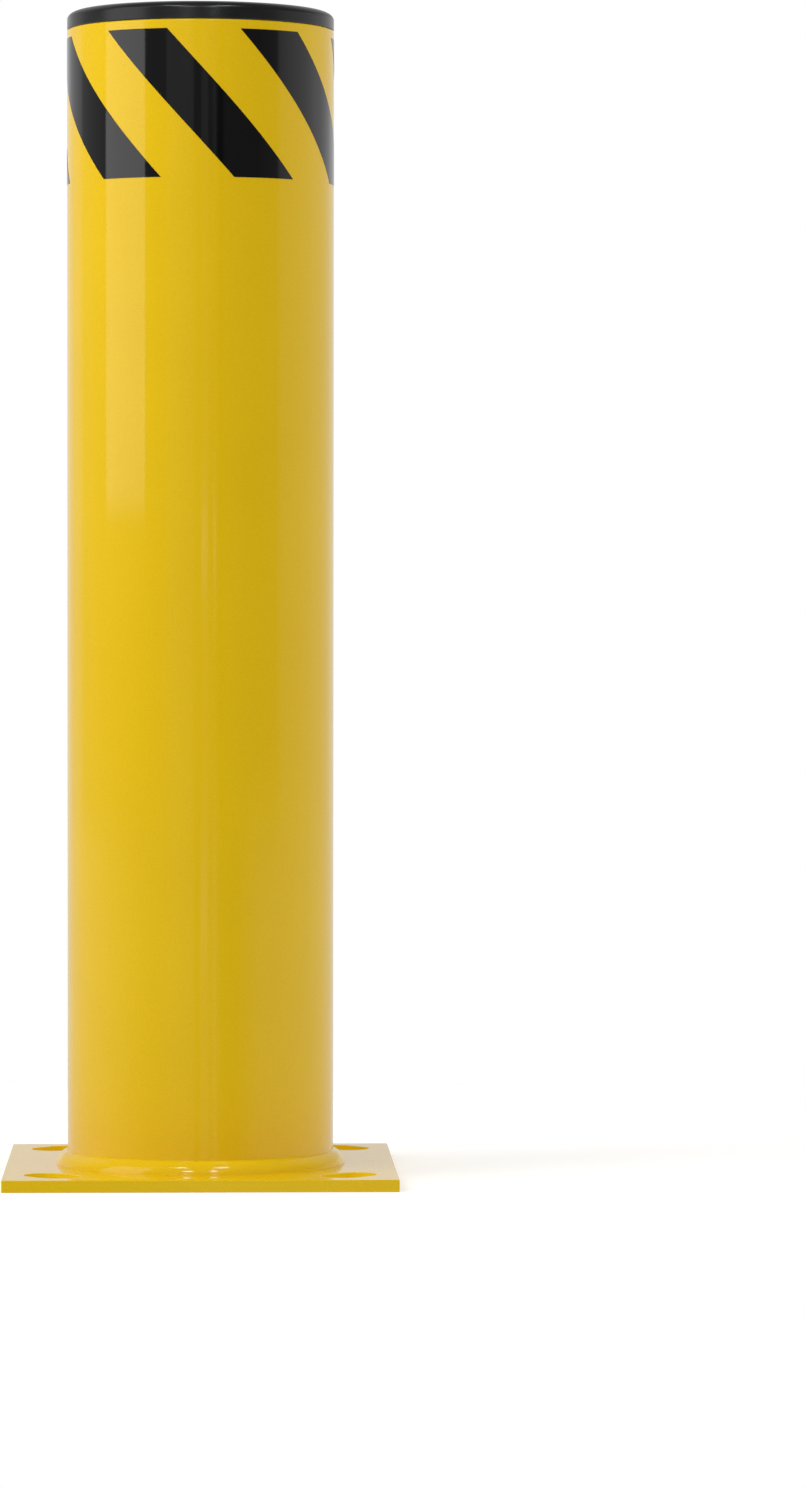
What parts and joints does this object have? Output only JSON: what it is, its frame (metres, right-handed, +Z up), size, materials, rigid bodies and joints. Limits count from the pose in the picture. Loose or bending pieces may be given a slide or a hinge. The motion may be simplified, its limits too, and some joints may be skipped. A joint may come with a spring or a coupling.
{
  "type": "steel safety bollard",
  "caption": "Round yellow steel post with black hazard stripes and a push-in black cap, welded to a square base plate with diagonal anchor slots.",
  "frame": {"origin": "centre of the base plate's underside, on the floor and on the post's axis", "axes": "+Z up along the post; -Y is the front, where stripe_1 is centred; X and Y run along the plate's sides"},
  "size_m": [0.2032, 0.2032, 0.6096],
  "materials": {
    "yellow_powder_coat": "gloss safety-yellow powder coat on steel, fine orange peel",
    "black_moulded_cap": "satin black moulded plastic",
    "black_vinyl": "gloss black adhesive vinyl"
  },
  "bodies": {
    "post": {"base_plate": "yellow_powder_coat", "post_tube": "yellow_powder_coat", "weld_bead": "yellow_powder_coat", "stripe_1": "black_vinyl", "stripe_2": "black_vinyl", "stripe_3": "black_vinyl", "stripe_4": "black_vinyl", "stripe_5": "black_vinyl", "stripe_6": "black_vinyl"},
    "cap": {"end_cap": "black_moulded_cap"}
  },
  "joints": [
    {"name": "cap_lift", "type": "slide", "parent": "post", "child": "cap", "axis": [0, 0, 1], "range_m": [0, 0.06]}
  ]
}
